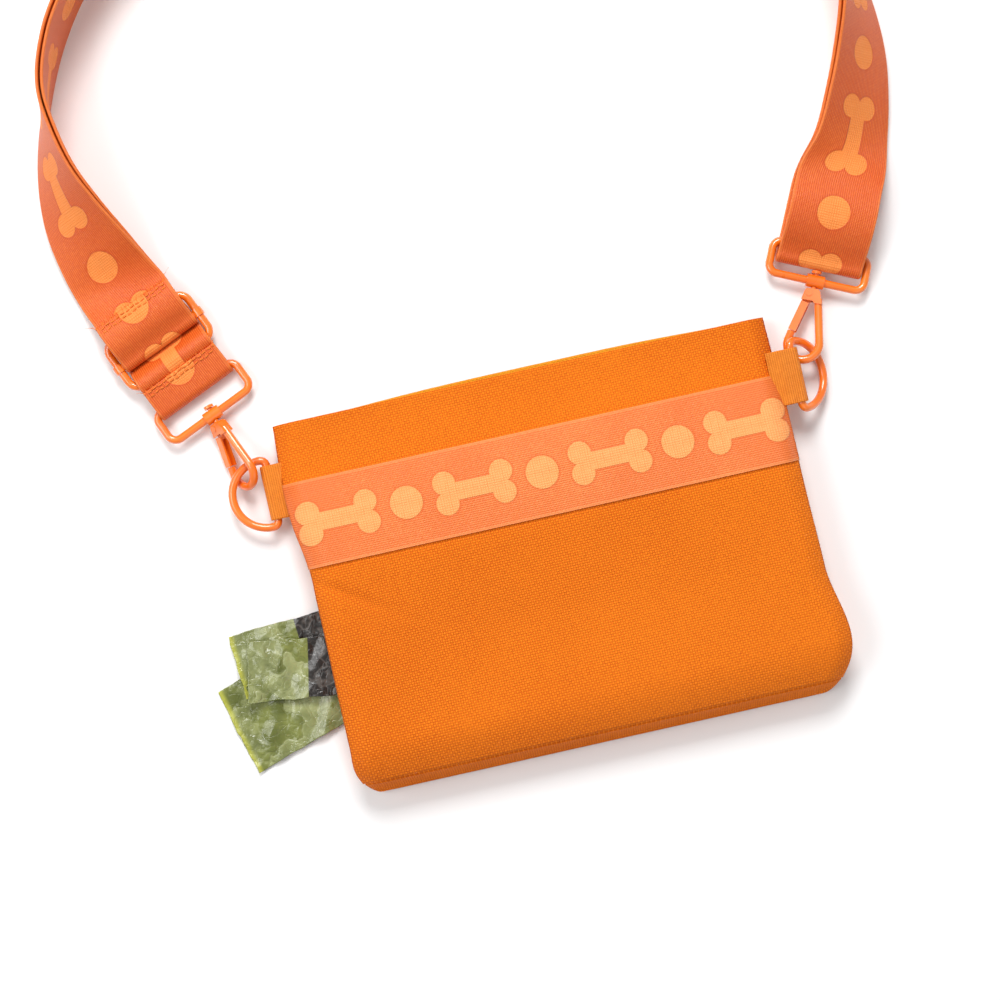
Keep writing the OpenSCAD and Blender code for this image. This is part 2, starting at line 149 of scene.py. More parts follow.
class Wire:
    """A shader socket that Python arithmetic can be done on; each operation adds a Math node."""

    def __init__(self, finish, socket):
        self.finish, self.socket = finish, socket

    def math(self, operation, *others):
        return self.finish.node("ShaderNodeMath", {"operation": operation}, *((self,) + others))

    def __add__(self, other): return self.math("ADD", other)
    def __radd__(self, other): return self.math("ADD", other)
    def __sub__(self, other): return self.math("SUBTRACT", other)
    def __rsub__(self, other): return self.finish.wire(other).math("SUBTRACT", self)
    def __mul__(self, other): return self.math("MULTIPLY", other)
    def __rmul__(self, other): return self.math("MULTIPLY", other)
    def __truediv__(self, other): return self.math("DIVIDE", other)
    def sin(self): return self.math("SINE")
    def abs(self): return self.math("ABSOLUTE")
    def low(self, other): return self.math("MINIMUM", other)
    def high(self, other): return self.math("MAXIMUM", other)
    def sqrt(self): return self.math("SQRT")

    def step(self, start, end):
        """0 below start, 1 above end, and a smooth rise between them."""
        return self.finish.node("ShaderNodeMapRange", {"interpolation_type": "SMOOTHSTEP"},
                                self, start, end, 0.0, 1.0)


class Finish:
    """A material with one Principled shader. Numbers go to the shader's own sockets."""

    def __init__(self, name, **settings):
        self.material = bpy.data.materials.new(name)
        self.material.use_nodes = True
        self.tree = self.material.node_tree
        self.shader = self.tree.nodes["Principled BSDF"]
        for key, value in settings.items():
            self.shader.inputs[key.replace("_", " ")].default_value = value

    def node(self, kind, settings=None, *values, output=0, **named):
        made = self.tree.nodes.new(kind)
        for key, value in (settings or {}).items():
            setattr(made, key, value)
        for key, value in list(enumerate(values)) + list(named.items()):
            if isinstance(value, Wire):
                self.tree.links.new(value.socket, made.inputs[key])
            elif value is not None:
                made.inputs[key].default_value = value
        return Wire(self, made.outputs[output])

    def wire(self, number):
        return self.node("ShaderNodeMath", {"operation": "ADD"}, float(number), 0.0)

    def cloth(self):
        """The piece's own cloth coordinates in millimetres, along and across."""
        coords = self.node("ShaderNodeUVMap", {"uv_map": "cloth"})
        parts = self.node("ShaderNodeSeparateXYZ", None, coords)
        return (parts * 1000.0, Wire(self, parts.socket.node.outputs[1]) * 1000.0)

    def place(self):
        return self.node("ShaderNodeTexCoord", None, output="Object")

    def noise(self, scale, detail=2.0, where=None):
        made = self.node("ShaderNodeTexNoise", None, output=0)
        node = made.socket.node
        node.inputs["Scale"].default_value = scale
        node.inputs["Detail"].default_value = detail
        self.tree.links.new((where or self.place()).socket, node.inputs["Vector"])
        return made

    def mix(self, factor, a, b):
        made = self.node("ShaderNodeMix", {"data_type": "RGBA"}, output=2)
        node = made.socket.node
        for socket, value in ((node.inputs[0], factor), (node.inputs[6], a), (node.inputs[7], b)):
            if isinstance(value, Wire):
                self.tree.links.new(value.socket, socket)
            else:
                socket.default_value = value if isinstance(value, float) else (*value, 1.0)
        return made

    def feed(self, name, wire):
        self.tree.links.new(wire.socket, self.shader.inputs[name])

    def bump(self, height, distance, strength=1.0):
        made = self.node("ShaderNodeBump")
        node = made.socket.node
        node.inputs["Strength"].default_value = strength
        node.inputs["Distance"].default_value = distance * MM
        self.tree.links.new(height.socket, node.inputs["Height"])
        self.feed("Normal", made)


def canvas_finish(name, base, dark, pitch=1.05):
    """Plain coarse weave: bumps where the two threads cross, each second crossing a little darker."""
    f = Finish(name, Roughness=0.9, Specular_IOR_Level=0.2)
    u, v = f.cloth()
    over = (u * (math.pi / pitch)).sin() * (v * (math.pi / pitch)).sin()
    thread = over.abs().sqrt()
    patch = f.noise(14.0, 3.0)
    fleck = f.noise(900.0, 1.0)
    shade = thread * 0.45 + over.step(-0.6, 0.6) * 0.3 + fleck * 0.35 + patch * 0.3 - 0.15
    f.feed("Base Color", f.mix(shade.step(0.15, 0.9), dark, base))
    f.bump(thread + over * 0.3 + fleck * 0.4, 0.3, 0.9)
    return f.material


def motifs(u, v, pitch, size):
    """Distance outside the nearest motif, in millimetres: bones with round treats between them."""
    def from_middle(offset):
        return ((u + offset).math("WRAP", pitch, 0.0) - pitch / 2).abs()

    def round_at(x, y, cx, cy):
        return ((x - cx) * (x - cx) + (y - cy) * (y - cy)).sqrt()
    x, y = from_middle(0.0), v.abs()
    knob = round_at(x, y, 0.42 * size, 0.15 * size) - 0.17 * size
    bar = (x - 0.42 * size).high(y - 0.13 * size)
    bone = knob.low(bar)
    disc_x = from_middle(pitch / 2)
    biscuit = (disc_x * disc_x + v * v).sqrt() - 0.24 * size
    return bone.low(biscuit)


def webbing_finish(name, ground, deep, light, pitch, size, centre=0.0, shade_from=None):
    """Satin webbing: fine ribs along it with small bright dots between them, and motifs in a paler
    pebbled weave with a darker outline. Given a distance for the ends, it deepens past that distance from the
    middle, keeping a few bright dots: painted shade towards the ends."""
    f = Finish(name, Roughness=0.4, Specular_IOR_Level=0.4)
    u, v = f.cloth()
    v = v - centre
    rib = (v * (2 * math.pi / 0.92)).sin()
    dots = (u * (math.pi / 0.62)).sin() * (v * (math.pi / 0.92)).sin()
    gap = motifs(u, v, pitch, size)
    inside = 1.0 - gap.step(-0.25, 0.15)
    outline = gap.step(-0.2, 0.2) * (1.0 - gap.step(0.5, 1.1))
    pebble = (u * (math.pi / 1.05)).sin() * (v * (math.pi / 1.05)).sin()
    edge = v.abs().step(17.4, 18.6)
    worn = f.noise(22.0, 2.0)
    weave = rib * 0.2 + dots.abs() * 0.55 + f.noise(700.0, 1.0) * 0.4 + worn * 0.5 - 0.35
    cloth = f.mix(weave.step(0.1, 1.0), deep, ground)
    # Painted shade: past the given distance the cloth deepens towards both ends, with a few bright dots kept.
    if shade_from is not None:
        end_shade = u.abs().step(shade_from, shade_from + 34.0)
        cloth = f.mix(end_shade * 0.75, cloth, deep)
        cloth = f.mix(end_shade * (dots.abs() - 0.35).step(0.0, 0.5) * 0.4, cloth, ground)
    cloth = f.mix(outline * 0.6, cloth, deep)
    raised = f.mix((pebble.abs() + fuzz(f) * 0.6 - 0.3).step(0.0, 0.55), ground, light)
    cloth = f.mix(inside * 0.9, cloth, raised)
    f.feed("Base Color", f.mix(edge * 0.3, cloth, light))
    f.feed("Roughness", 0.36 + inside * 0.2 + worn * 0.12)
    f.bump(rib * 0.4 * (1.0 - inside) + pebble.abs() * 1.3 * inside + dots.abs() * 0.6 + inside * 1.0,
           0.18, 0.85)
    return f.material


def fuzz(f):
    return f.noise(420.0, 2.0)


def ribbed_finish():
    """Ribbed webbing of the side tabs: fine ribs across its run with a slub along them."""
    f = Finish("ribbed_webbing", Roughness=0.5, Specular_IOR_Level=0.3)
    u, v = f.cloth()
    rib = (u * (2 * math.pi / 0.95)).sin()
    pick = (v * (2 * math.pi / 0.7)).sin()
    shade = rib * 0.22 + pick * 0.12 + f.noise(500.0, 1.0) * 0.4 + f.noise(90.0, 2.0) * 0.3 + 0.2
    f.feed("Base Color", f.mix(shade.step(0.0, 1.0), (0.62, 0.130, 0.004), (0.88, 0.27, 0.022)))
    f.bump(rib + pick * 0.25, 0.16, 0.8)
    return f.material


def coated_finish():
    """Glossy orange coating on metal, with faint orange peel and small thin spots."""
    f = Finish("coated_metal", Roughness=0.28, Coat_Weight=1.0, Coat_Roughness=0.1)
    spot = f.noise(260.0, 3.0)
    patch = f.noise(60.0, 2.0)
    tone = f.mix(patch.step(0.3, 0.7), (0.88, 0.155, 0.004), (0.93, 0.20, 0.007))
    f.feed("Base Color", f.mix(spot.step(0.7, 0.8) * 0.35, tone, (0.55, 0.09, 0.01)))
    f.feed("Roughness", 0.2 + patch * 0.2)
    f.bump(spot + f.noise(900.0, 1.0) * 0.3, 0.03, 0.5)
    return f.material


def film_finish(name, black_from=None, yellow=0.7):
    """Crumpled bag film: flat facets, some clear olive and some pale with painted reflection, with bright
    crease lines of painted highlight, a yellow-green outer edge, and a black end next to the pouch."""
    f = Finish(name, Roughness=0.3, Coat_Weight=0.6, Coat_Roughness=0.12)
    u, v = f.cloth()
    where = f.place()
    bend = f.node("ShaderNodeTexNoise", None, where, Scale=120.0, Detail=2.0, output=1)
    bent = f.node("ShaderNodeVectorMath", {"operation": "MULTIPLY_ADD"}, bend, (0.022, 0.022, 0.022), where)
    facet = f.node("ShaderNodeTexVoronoi", {"feature": "F1"}, bent, Scale=46.0, output=1)
    tone = f.node("ShaderNodeSeparateColor", None, facet)
    rim = f.node("ShaderNodeTexVoronoi", {"feature": "DISTANCE_TO_EDGE"}, bent, Scale=46.0)
    fine = f.node("ShaderNodeTexVoronoi", {"feature": "DISTANCE_TO_EDGE"}, bent, Scale=170.0)
    cloud = f.noise(110.0, 2.0)
    # Painted highlight: bright lines along the facet edges. Below, pale facets as painted reflection, put
    # into the colour only.
    crease_highlight = (1.0 - rim.step(0.0, 0.07)) * 0.7 + (1.0 - fine.step(0.0, 0.05)) * 0.3
    painted_glare = tone.step(0.35, 0.9) * (cloud + 0.1) + crease_highlight * 0.45
    green = f.mix(cloud.step(0.35, 0.7), (0.105, 0.125, 0.018), (0.20, 0.225, 0.045))
    green = f.mix((painted_glare * 0.7).low(0.75), green, (0.40, 0.43, 0.20))
    edge = (1.0 - u.step(0.6, 3.0)) * yellow
    green = f.mix(edge, green, (0.52, 0.52, 0.05))
    if black_from is not None:
        # The lighter crease lines on the black end are painted highlight too.
        dark = f.mix(crease_highlight.low(0.6) * 0.6, (0.012, 0.008, 0.006), (0.20, 0.18, 0.16))
        green = f.mix(u.step(black_from, black_from + 0.5), green, dark)
    f.feed("Base Color", green)
    f.feed("Roughness", 0.16 + cloud * 0.3)
    f.bump(rim.low(0.25) * 2.5 + fine.low(0.12) * 1.2 + tone * 0.5 + cloud * 0.3, 0.9, 0.9)
    return f.material


def plain_finish(name, base, dark, roughness, metallic=0.0, scale=300.0):
    """A quiet surface: two close tones mixed by fine noise, with a slight bump."""
    f = Finish(name, Metallic=metallic, Roughness=roughness)
    grain = f.noise(scale, 3.0)
    f.feed("Base Color", f.mix(grain.step(0.3, 0.7), dark, base))
    f.feed("Roughness", roughness - 0.05 + grain * 0.1)
    f.bump(grain, 0.05, 0.4)
    return f.material


def thread_finish(name, base, dark):
    """Twisted sewing thread: a slanted line pattern on its own coordinates."""
    f = Finish(name, Roughness=0.6, Specular_IOR_Level=0.3)
    u, v = f.cloth()
    twist = ((u * 2.2 + v * 3.0) * math.pi).sin()
    f.feed("Base Color", f.mix(twist.step(-0.5, 0.5), dark, base))
    f.bump(twist, 0.05, 0.6)
    return f.material


CANVAS = canvas_finish("canvas", (0.92, 0.225, 0.009), (0.58, 0.085, 0.002))
# The band deepens past 74 mm from its middle: painted shade towards both side seams.
BAND = webbing_finish("band_webbing", (0.94, 0.320, 0.080), (0.74, 0.130, 0.018), (0.98, 0.42, 0.14),
                      60.0, 30.0, 38.0, 74.0)
STRAP = webbing_finish("strap_webbing", (0.92, 0.240, 0.036), (0.62, 0.075, 0.006),
                       (0.96, 0.31, 0.066), 72.0, 30.0)
TAB = ribbed_finish()
COATED = coated_finish()
# A paler, yellower copy of the canvas for the hem facings: painted highlight where the back hem's top edge
# shows above the mouth.
HEM_HIGHLIGHT = canvas_finish("hem_facing_highlight", (0.95, 0.42, 0.03), (0.80, 0.26, 0.01), 0.7)
LINING = plain_finish("lining", (0.80, 0.30, 0.03), (0.62, 0.20, 0.015), 0.55)
STEEL = plain_finish("spring_steel", (0.55, 0.55, 0.56), (0.42, 0.42, 0.44), 0.3, 1.0)
MAGNET = plain_finish("magnet", (0.72, 0.72, 0.74), (0.60, 0.60, 0.62), 0.25, 1.0)
CARD = plain_finish("card", (0.55, 0.43, 0.28), (0.44, 0.33, 0.20), 0.9)
# The pouch's thread is dark red-brown: partly its own colour, partly painted shade along the sunk stitch
# lines.
THREAD_AND_SHADE = thread_finish("thread", (0.60, 0.09, 0.004), (0.28, 0.035, 0.002))


# ---------------------------------------------------------------- pouch shell

Y_TOP, Y_BOTTOM = 83.5, -83.5
Y_HINGE = -76.5


def front_z(y):
    """Height of the front's outer face: flat over the middle, lower at the hinge and at the mouth."""
    low = 26 - 7 * ((-58 - y) / 18.5) ** 2
    high = 26 - 14 * ease((y - 10) / 73.5)
    return np.where(y < -58, low, np.where(y < 10, 26.0, high))


def left_side(y):
    return through(y, [-83.5, -79, -73, -60, -40, 4, 21, 40, 58.6, 83.5],
                   [-99, -103, -105.9, -106.2, -106.3, -106.3, -106.6, -109.6, -110.6, -109.6])


def right_side(y):
    return through(y, [-83.5, -80, -73, -28, 17.5, 37, 55, 83.5],
                   [100, 104.5, 109.8, 109.4, 108.4, 108.6, 108.8, 108.2])


def slack(x, y):
    """How far the empty middle has sunk, as a share of the height: a wide dish below the mouth."""
    across = np.clip(1 - (x / 112) ** 2, 0, 1)
    return 0.18 * ease((y + 76) / 60) * (1 - ease((y - 20) / 40)) * across


def edge_roll(x, y):
    """Drop beside the two side seams, where the cloth turns down over them."""
    reach = np.minimum(x - left_side(y), right_side(y) - x)
    return 5.5 * (1 - np.clip(reach / 9, 0, 1)) ** 2


def creases(x, y):
    """Two soft folds: one slanting from the band's left end, one near the right edge; and small waves."""
    left = np.exp(-(((x + 97) * 0.55 + (y - 8) * 0.83) / 2.6) ** 2 - ((x + 92) / 15) ** 2)
    lower = np.exp(-(((x + 96) * 0.75 + (y + 8) * 0.66) / 4.5) ** 2 - ((x + 90) / 16) ** 2)
    right = np.exp(-(((x - 94) + (y + 20) * 0.12) / 4) ** 2 - ((y + 22) / 26) ** 2)
    return 0.7 * lower - 1.3 * left + 0.6 * right + 0.5 * ripple(x, y, 3, longest=90, shortest=22)


def front_height(x, y):
    settle = ease((y + 74) / 14) * (1 - ease((y - 60) / 20))
    return front_z(y) * (1 - slack(x, y)) - edge_roll(x, y) + creases(x, y) * settle - 0.5


def panel_grid(y0, y1, rows, cols, left=left_side, right=right_side):
    """Grid of x and y between the two side outlines."""
    y = np.linspace(y0, y1, rows)[:, None]
    s = np.linspace(0, 1, cols)[None, :]
    x = left(y) + (right(y) - left(y)) * s
    return x, np.broadcast_to(y, x.shape)


def stack(x, y, z):
    return np.stack(np.broadcast_arrays(x, y, z), -1)


x, y = panel_grid(Y_HINGE + 0.2, Y_TOP - 0.2, 150, 200)
front = thick_sheet("front_panel_cloth", stack(x, y, front_height(x, y)),
                    stack(x, y, 0)[..., :2], 1.3, CANVAS)
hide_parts("front_panel")
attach(front, "front")

x, y = panel_grid(Y_BOTTOM, Y_TOP - 0.2, 120, 120,
                  lambda y: left_side(y) + 0.6, lambda y: right_side(y) - 0.6)
back_height = 0.25 + 0.2 * ripple(x, y, 8, longest=70, shortest=25) + 2.0 * np.exp(
    -np.minimum(x - left_side(y), right_side(y) - x) / 2.5) + 0.2
back = thick_sheet("back_panel_cloth", stack(x, y, back_height)[:, ::-1], stack(x, y, 0)[:, ::-1, :2],
                   -1.3, CANVAS)
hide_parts("back_panel")
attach(back, "pouch")


def side_gusset(name, side, outline, body_slot):
    """Cloth wall from the back seam to the front seam, drawn in a little between them.
    The slot the bags come through is left out of the left one."""
    y = np.linspace(Y_HINGE + 1, Y_TOP - 0.4, 130)[:, None]
    t = np.linspace(0, 1, 16)[None, :]
    x_edge = outline(y)
    top = front_height(x_edge - side * 1.0, y) - 0.7
    low = np.full_like(y, 1.0)
    if body_slot:
        low = low + 6.0 * ease((y + 58) / 5) * (1 - ease((y - 3) / 5))
    z = low + (top - low) * t
    pleat = (3.4 if side > 0 else 0.5) * np.sin(np.pi * np.clip((z - 1) / (top - 1), 0, 1)) ** 1.3
    pleat = pleat + 0.5 * ripple(y, z, 5, longest=50, shortest=12)
    x = x_edge - side * (1.6 + pleat * ease((y + 76) / 10))
    p = stack(x, np.broadcast_to(y, z.shape), z)
    uv = stack(y, z, 0)[..., :2]
    if side > 0:
        p, uv = p[:, ::-1], uv[:, ::-1]
    piece = thick_sheet(name, p[:, ::-1], uv[:, ::-1], 1.0, CANVAS)
    return piece


left_wall = side_gusset("gusset_left_cloth", -1, left_side, True)
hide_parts("gusset_left")
right_wall = side_gusset("gusset_right_cloth", 1, right_side, False)
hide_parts("gusset_right")
for wall in (left_wall, right_wall):
    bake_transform(wall)

# Bottom gusset: it leaves the front's hinge line, rounds the bottom fold and meets the back.
t = np.linspace(0, 1, 40)[:, None]
s = np.linspace(0, 1, 160)[None, :]
turn = t * math.pi / 2
low_edge = Y_BOTTOM + 0.4
depth = 0.0 + (Y_HINGE - 0.2 - low_edge) * np.cos(turn)
span_y = low_edge + depth
x = left_side(span_y) + (right_side(span_y) - left_side(span_y)) * s
edge_y = Y_HINGE + 0.2
top_z = front_height(left_side(edge_y) + (right_side(edge_y) - left_side(edge_y)) * s, edge_y)
z = 1.4 + (top_z - 1.4) * (1 - np.sin(turn)) ** 0.8
seam = 0.35 * ripple(x, z, 21, longest=40, shortest=10) * np.sin(np.pi * t)
p = stack(x, span_y - seam - 0.6 * np.sin(np.pi * t), z)
step_y, step_z = np.diff(p[..., 1], axis=0), np.diff(p[..., 2], axis=0)
arc = np.vstack([np.zeros((1, p.shape[1])), np.cumsum(np.hypot(step_y, step_z), axis=0)])
bottom = thick_sheet("bottom_gusset_cloth", p[::-1], stack(x, Y_HINGE - arc, 0)[::-1, :, :2], 1.2, CANVAS)
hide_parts("bottom_gusset")
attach(bottom, "pouch")


# ---------------------------------------------------------------- band, facings and linings

def on_front(name, y0, y1, offset, thickness, finish, left=left_side, right=right_side, rows=90, cols=200,
             grow=0.0, drop=0.0):
    x, y = panel_grid(y0, y1, rows, cols, lambda v: left(v) - grow, lambda v: right(v) + grow)
    z = front_height(np.clip(x, left_side(y) + 0.3, right_side(y) - 0.3), y) + offset
    z = z - drop * (1 - np.clip(np.minimum(x - left(y) + grow, right(y) + grow - x) / 4, 0, 1)) ** 2
    return thick_sheet(name, stack(x, y, z), stack(x, y, 0)[..., :2], thickness, finish)


band = on_front("band_front", 19, 57, 1.25, 1.2, BAND, grow=0.7, drop=1.0)
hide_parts("webbing_band")
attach(band, "front")

hem_front = on_front("facing_front_cloth", 60, 83.0, -1.6, 1.4, HEM_HIGHLIGHT,
                     lambda v: left_side(v) + 3, lambda v: right_side(v) - 3,
                     40, 120)
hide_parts("facing_front")
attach(hem_front, "front")

inside_front = on_front("lining_front_cloth", -71, 59.5, -1.75, 0.4, LINING, lambda v: left_side(v) + 4,
                        lambda v: right_side(v) - 4, 60, 80)
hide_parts("lining_front")
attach(inside_front, "front")

# The back facing rises a little above the front's mouth in the middle. Its paler canvas there is painted
# highlight.
x, y = panel_grid(59.5, 85.0, 40, 120, lambda v: left_side(v) + 3.4, lambda v: right_side(v) - 3.4)
peek = 83.4 + 1.7 * np.exp(-((x - 5) / 72) ** 4)
y = 59.5 + (y - 59.5) * (peek - 59.5) / 25.5
p = stack(x, y, 3.2 + 0.15 * ripple(x, y, 12))
hem_back = thick_sheet("facing_back_cloth", p, stack(x, y, 0)[..., :2], 1.7, HEM_HIGHLIGHT)
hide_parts("facing_back")
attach(hem_back, "pouch")

x, y = panel_grid(-71, 59.5, 50, 70, lambda v: left_side(v) + 4, lambda v: right_side(v) - 4)
inside_back = thick_sheet("lining_back_cloth", stack(x, y, 2.0), stack(x, y, 0)[..., :2], 0.4, LINING)
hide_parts("lining_back")
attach(inside_back, "pouch")


# ---------------------------------------------------------------- stitching

def stitches(name, path, normal, length, gap, finish, thickness=0.55, proud=0.12):
    """Lock stitches: small ellipsoids along a path. One joined mesh."""
    steps = np.linalg.norm(np.diff(path, axis=0), axis=1)
    at = np.concatenate([[0], np.cumsum(steps)])
    count = max(2, int(at[-1] / (length + gap)))
    middle = (np.arange(count) + 0.5) * at[-1] / count
    centre = np.stack([np.interp(middle, at, path[:, k]) for k in range(3)], -1)
    along = unit(np.stack([np.interp(middle + 0.5, at, path[:, k]) - np.interp(middle - 0.5, at, path[:, k])
                           for k in range(3)], -1))
    up = unit(np.stack([np.interp(middle, at, normal[:, k]) for k in range(3)], -1))
    side = unit(np.cross(up, along))
    rings, around = 9, 8
    a = np.linspace(0, math.pi, rings)[1:-1, None]
    b = np.linspace(0, 2 * math.pi, around, endpoint=False)[None, :]
    ball = np.stack(np.broadcast_arrays(np.cos(a), np.sin(a) * np.cos(b), np.sin(a) * np.sin(b)), -1)
    ball = ball.reshape(-1, 3)
    ball = np.concatenate([ball, [[1, 0, 0], [-1, 0, 0]]])
    half = np.array([length / 2, thickness / 2, thickness / 2])
    ball = ball * half
    points = (centre[:, None] + along[:, None] * ball[None, :, :1] + side[:, None] * ball[None, :, 1:2]
              + up[:, None] * (ball[None, :, 2:] + proud))
    n = ball.shape[0]
    body = np.array(quads(rings - 2, around, 0, True))[:, ::-1]
    k = np.arange(around)
    first = np.stack([np.full(around, n - 2), (k + 1) % around, k], -1)[:, ::-1]
    last_row = (rings - 3) * around
    last = np.stack([np.full(around, n - 1), last_row + k, last_row + (k + 1) % around], -1)[:, ::-1]
    faces = []
    for part in (body, first, last):
        faces += (part[None] + (np.arange(count) * n)[:, None, None]).reshape(-1, part.shape[1]).tolist()
    uv = np.stack([points[..., 0] + middle[:, None] * 0, points[..., 1]], -1).reshape(-1, 2)
    return add_piece(name, points.reshape(-1, 3), faces, uv, finish)


def row_on_front(name, y_of_x, x0, x1, lift, length=2.6, gap=0.7, count=400):
    x = np.linspace(x0, x1, count)
    y = np.broadcast_to(y_of_x(x), x.shape).astype(float)
    path = np.stack([x, y, front_height(x, y) + lift], -1)
    normal = np.broadcast_to(np.array([0.0, 0.1, 1.0]), path.shape)
    piece = stitches(name, path, normal, length, gap, THREAD_AND_SHADE)
    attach(piece, "front")
    return piece


row_on_front("stitch_hem", lambda x: 77.6 + 0 * x, -108.2, 107.0, 0.55)
row_on_front("stitch_band_upper", lambda x: 55.7 + 0 * x, -109.5, 108.2, 1.2, 1.9, 0.6)
row_on_front("stitch_band_lower", lambda x: 20.3 + 0 * x, -106.2, 107.6, 1.2, 1.9, 0.6)
row_on_front("stitch_bottom", lambda x: -73.6 + 0 * x, -101, 105, 0.35)


# ---------------------------------------------------------------- side tabs

def tab(name, side, bar_z):
    """A ribbed loop: along the top, round the D-ring's bar and back underneath, edges slightly rounded."""
    bar_x, bar_y, half, radius = side * 117.0, 55.3, 12.0, 2.55
    run = np.linspace(-11.5, 0, 14)
    bend = np.linspace(90, -90, 19) * math.pi / 180
    rise = radius + 0.5 * np.exp(-((run + 5) / 3) ** 2)
    u = np.concatenate([run[:-1], radius * np.cos(bend), run[-2::-1]])
    z = np.concatenate([rise[:-1], radius * np.sin(bend), -rise[-2::-1]])
    path = np.stack([bar_x + side * u, np.full_like(u, bar_y), bar_z + z], -1)
    profile = rounded_strip(2 * half, 0.95)
    across = np.broadcast_to(np.array([0.0, -side, 0.0]), path.shape)
    piece, length = sweep(name, path, across, profile, TAB)
    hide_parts(name.replace("_webbing", ""))
    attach(piece, "pouch")
    return piece


def rounded_strip(width, thickness, across=28, ends=5):
    """Outline of a strip of webbing: two flat faces joined by half-round edges."""
    r = thickness / 2
    flat = np.linspace(-width / 2 + r, width / 2 - r, across)
    a = np.linspace(math.pi / 2, -math.pi / 2, ends + 2)[1:-1]
    right = np.stack([width / 2 - r + r * np.cos(a), r * np.sin(a)], -1)
    top = np.stack([flat, np.full_like(flat, r)], -1)
    return np.concatenate([top, right, -top, -right])


tab("tab_left_webbing", -1, 7.0)
tab("tab_right_webbing", 1, 13.2)


# ---------------------------------------------------------------- strap

# Each strap ring has a swivel boss; the strap goes round the bar on its far side.
BOSS = np.array([[-135.1, 94.2, 4.75], [135.2, 93.7, 5.25]])
RING_TURN = np.radians([23.5, -25.0])
RING_PITCH = np.radians([4.4, 5.8])
RING_GAP = 14.7
LEFT, RIGHT = 0, 1
SLIDER_S, SLIDER_Z = 25.5, 5.5
WEBBING_T = 1.4
FOLD_R = 3.5 / 2 + WEBBING_T / 2 + 0.3
HEADING = [np.array([math.cos(a + math.pi / 2), math.sin(a + math.pi / 2), 0]) for a in RING_TURN]
INWARD = [np.array([math.cos(RING_TURN[0]), math.sin(RING_TURN[0]), 0]),
          -np.array([math.cos(RING_TURN[1]), math.sin(RING_TURN[1]), 0])]
BAR = [BOSS[k] + HEADING[k] * RING_GAP * math.cos(RING_PITCH[k]) - [0, 0, RING_GAP * math.sin(RING_PITCH[k])]
       for k in (LEFT, RIGHT)]


def stops(side, route):
    """Stops given as distance along the strap from the ring's bar, and height."""
    return [(np.array([BAR[side][0], BAR[side][1], z]) + s * HEADING[side], INWARD[side]) for s, z in route]


def fold(side, s, z, r, start, end, steps=8):
    a = np.radians(np.linspace(start, end, steps + 1))
    return stops(side, list(zip(s + r * np.cos(a), z + r * np.sin(a))))


LOOP = ([(-163.5, 158.5, 10), (-169.8, 175, 27), (-174.6, 191, 42), (-177.2, 208, 58), (-177, 226, 72),
         (-174.6, 243, 84)]
        + [(-176 * math.cos(a), 225 + 122 * math.sin(a), 90) for a in np.radians(np.arange(20, 161, 14))]
        + [(174.6, 243, 84), (177, 226, 74), (177, 206, 62), (174.5, 187, 50), (169.5, 168, 40),
           (163, 150, 29)])


def loop_stops(offset):
    """The loop's two layers lie an offset each side of its middle, which turns on edge round the back."""
    x, y, tilt = np.array(LOOP, float).T
    tilt = np.radians(tilt)
    ahead = np.stack([np.gradient(x), np.gradient(y), 0 * x], -1)
    ahead = unit(ahead)
    inner = np.stack([ahead[:, 1], -ahead[:, 0], 0 * x], -1)
    up = np.array([0.0, 0.0, 1.0])
    across = inner * np.cos(tilt)[:, None] + up * np.sin(tilt)[:, None]
    out = up * np.cos(tilt)[:, None] - inner * np.sin(tilt)[:, None]
    middle = np.stack([x, y, 19 * np.sin(tilt) + 2.0], -1)
    return list(zip(middle + out * offset, across))


ROUTE = (stops(LEFT, [(10.5, 8.3), (5, 7.5)]) + fold(LEFT, -0.4, BAR[LEFT][2], FOLD_R + 0.25, 90, 270)
         + stops(LEFT, [(3, 1.1), (6.5, 2.8), (9.6, 5.6), (11.8, 8.1), (13.75, 8.9), (16, 8.3), (19, 5.4),
                        (22, 2.3), (25.5, 0.95), (29, 2), (31.6, 4.4), (34, 7.3), (35.8, 8.6), (37.5, 8.9),
                        (41, 7.9), (47, 4.2)])
         + loop_stops(-1.1)
         + stops(RIGHT, [(27, 2.4), (18, 1.2), (9, 0.95), (0, 0.95), (-4.5, 1.2)])
         + fold(RIGHT, -5.5, 4.9, 3.4, 270, 90)
         + stops(RIGHT, [(-2, 10.2), (3, 14), (10, 17.5), (18, 18.4), (27, 16)])
         + loop_stops(1.1)[::-1]
         + stops(LEFT, [(47, 7.6), (41, 10.4), (38, 11), (35.6, 10.7), (33, 9), (30.8, 6.4), (28.6, 3.9)])
         + fold(LEFT, SLIDER_S, SLIDER_Z, FOLD_R, 270, 90)
         + stops(LEFT, [(28.2, 9.6), (31, 11.6), (34.5, 12.9), (38, 13.1), (45, 11.2)]))


